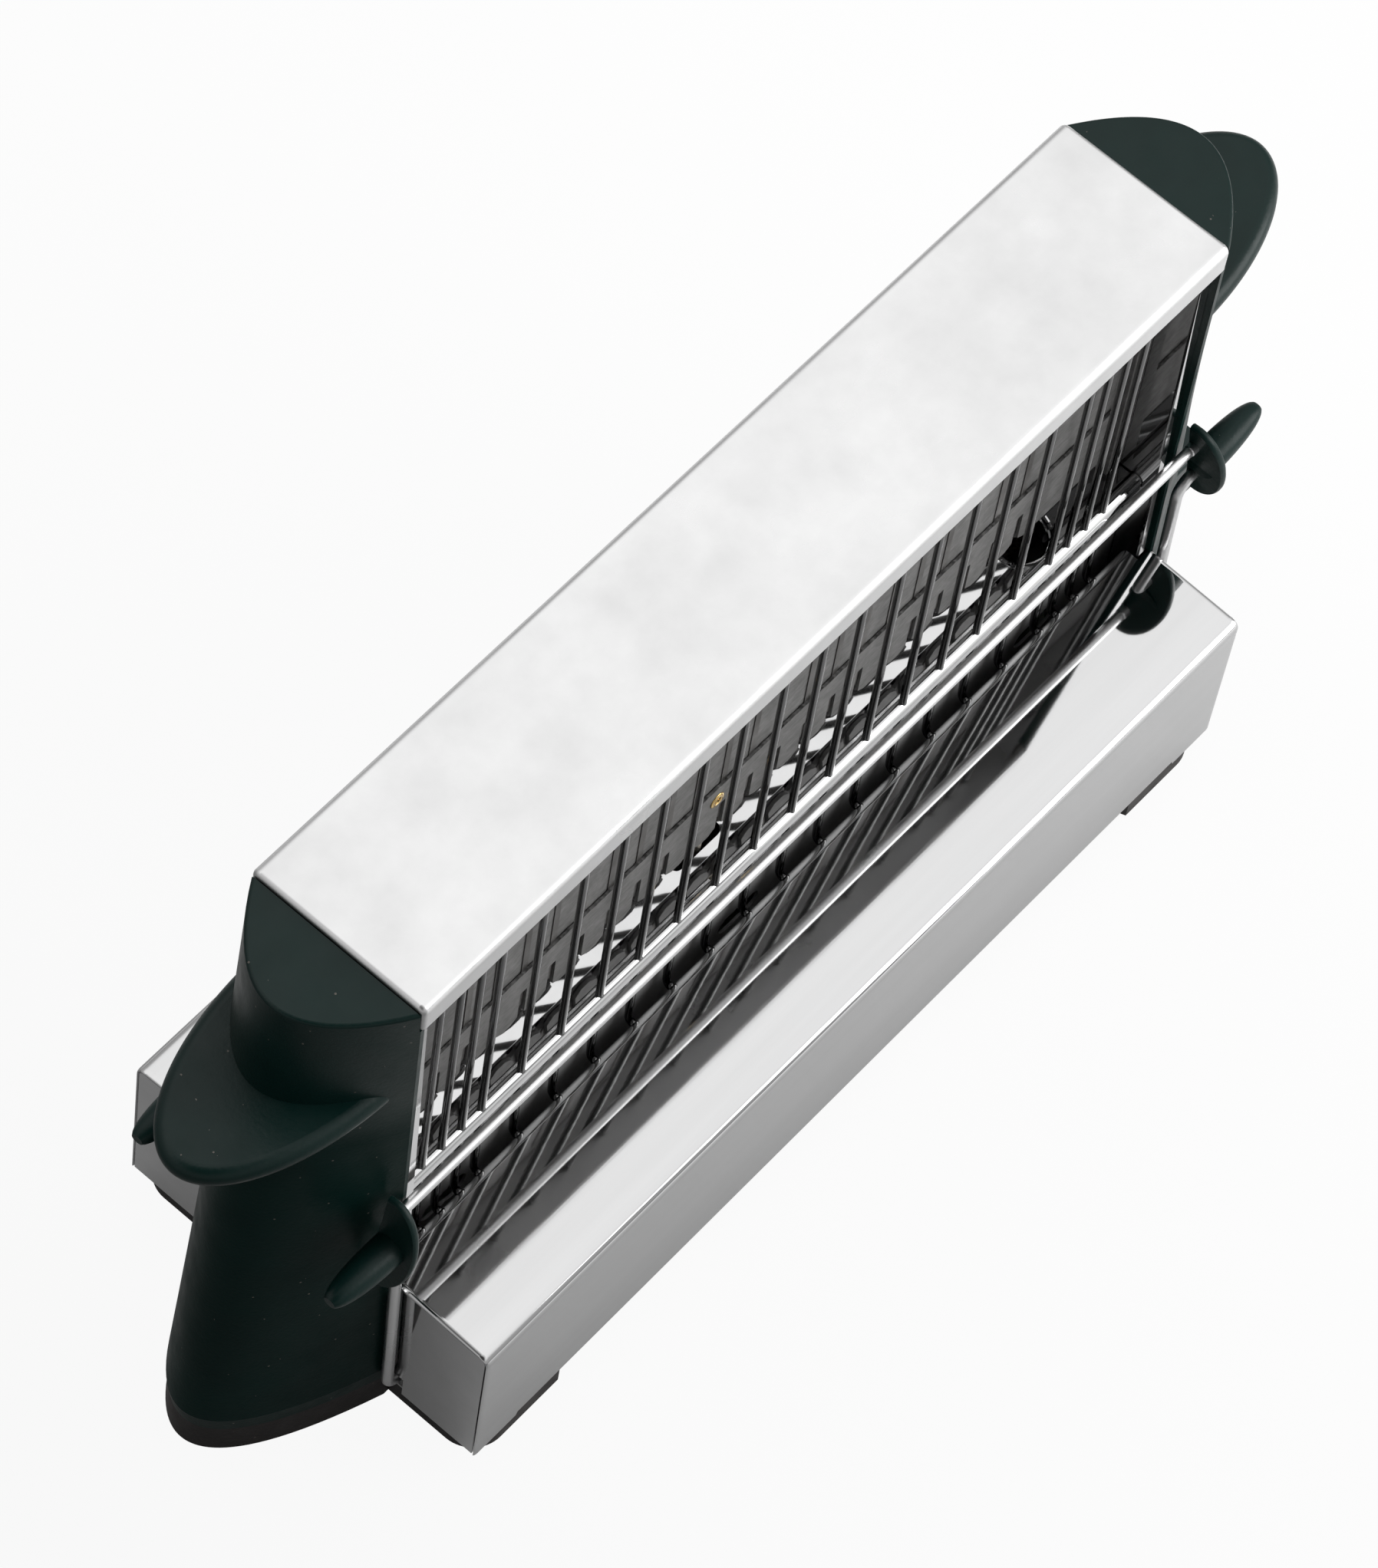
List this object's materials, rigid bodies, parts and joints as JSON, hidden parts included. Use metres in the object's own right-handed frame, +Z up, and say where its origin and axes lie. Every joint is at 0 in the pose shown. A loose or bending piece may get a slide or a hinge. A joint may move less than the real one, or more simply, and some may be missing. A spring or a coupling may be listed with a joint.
{
  "type": "toaster",
  "caption": "Low steel toaster with a central heating tower between black end caps, wire guards, and a hinged rod on each side that holds the bread.",
  "frame": {"origin": "centre of the footprint, on the floor under the feet", "axes": "+X along the heating tower towards the end with the inlet, +Y to the back, +Z up"},
  "size_m": [0.41, 0.12, 0.207],
  "materials": {
    "polished_steel": "mirror-polished stainless steel with fine rubbing marks",
    "plain_steel": "plain mill-finish steel",
    "screw_steel": "zinc-plated steel",
    "guard_wire": "bright drawn steel wire",
    "bail_steel": "polished steel rod",
    "cap_plastic": "near-black moulded thermoset, polished",
    "knob_plastic": "near-black moulded thermoset with a green cast, satin",
    "foot_plastic": "brown-black moulded thermoset, matt",
    "mica": "grey mica sheet",
    "heater_ribbon": "oxidised resistance ribbon",
    "holding_strip": "grey mica strip with a slit at each ribbon",
    "ceramic": "unglazed ceramic",
    "brass": "plain brass",
    "lead_sleeve": "glass-fibre sleeve",
    "inlet_plastic": "black moulded thermoset"
  },
  "bodies": {
    "chassis": {"top_cover": "polished_steel", "heat_shield": "plain_steel", "tower_plate_left": "polished_steel", "tower_plate_right": "polished_steel", "base_cover_front": "polished_steel", "base_cover_back": "polished_steel", "base_end_left": "polished_steel", "base_end_right": "polished_steel", "bottom_pan": "plain_steel", "end_base_left": "foot_plastic", "end_base_right": "foot_plastic", "foot_screws": "screw_steel", "end_cap_left": "cap_plastic", "end_cap_right": "cap_plastic", "cap_screws_left": "screw_steel", "cap_screws_right": "screw_steel", "chamber_floor": "polished_steel", "side_panel_front": "polished_steel", "side_panel_back": "polished_steel", "guard_front": "guard_wire", "guard_back": "guard_wire", "guard_hooks_front": "guard_wire", "guard_hooks_back": "guard_wire", "mica_front": "mica", "mica_back": "mica", "ribbon_front": "heater_ribbon", "ribbon_back": "heater_ribbon", "strip_front": "holding_strip", "strip_back": "holding_strip", "reflector": "plain_steel", "board_holder_left": "ceramic", "board_holder_right": "ceramic", "eyelet_front": "brass", "eyelet_back": "brass", "terminal_block": "ceramic", "terminal_screws": "screw_steel", "element_leads": "lead_sleeve", "inlet_shell": "inlet_plastic", "inlet_pins": "brass", "inlet_leads": "lead_sleeve", "pivot_block_front_left": "screw_steel", "pivot_block_front_right": "screw_steel", "pivot_block_back_left": "screw_steel", "pivot_block_back_right": "screw_steel"},
    "front_bail": {"front_rod": "bail_steel", "front_arm_left": "bail_steel", "front_arm_right": "bail_steel", "front_knob_left": "knob_plastic", "front_knob_right": "knob_plastic"},
    "back_bail": {"back_rod": "bail_steel", "back_arm_left": "bail_steel", "back_arm_right": "bail_steel", "back_knob_left": "knob_plastic", "back_knob_right": "knob_plastic"}
  },
  "joints": [
    {"name": "front_bail_hinge", "type": "hinge", "parent": "chassis", "child": "front_bail", "pos_m": [0, -0.032, 0.0123], "axis": [1, 0, 0], "range_deg": [0, 75]},
    {"name": "back_bail_hinge", "type": "hinge", "parent": "chassis", "child": "back_bail", "pos_m": [0, 0.032, 0.0123], "axis": [-1, 0, 0], "range_deg": [0, 75]}
  ]
}
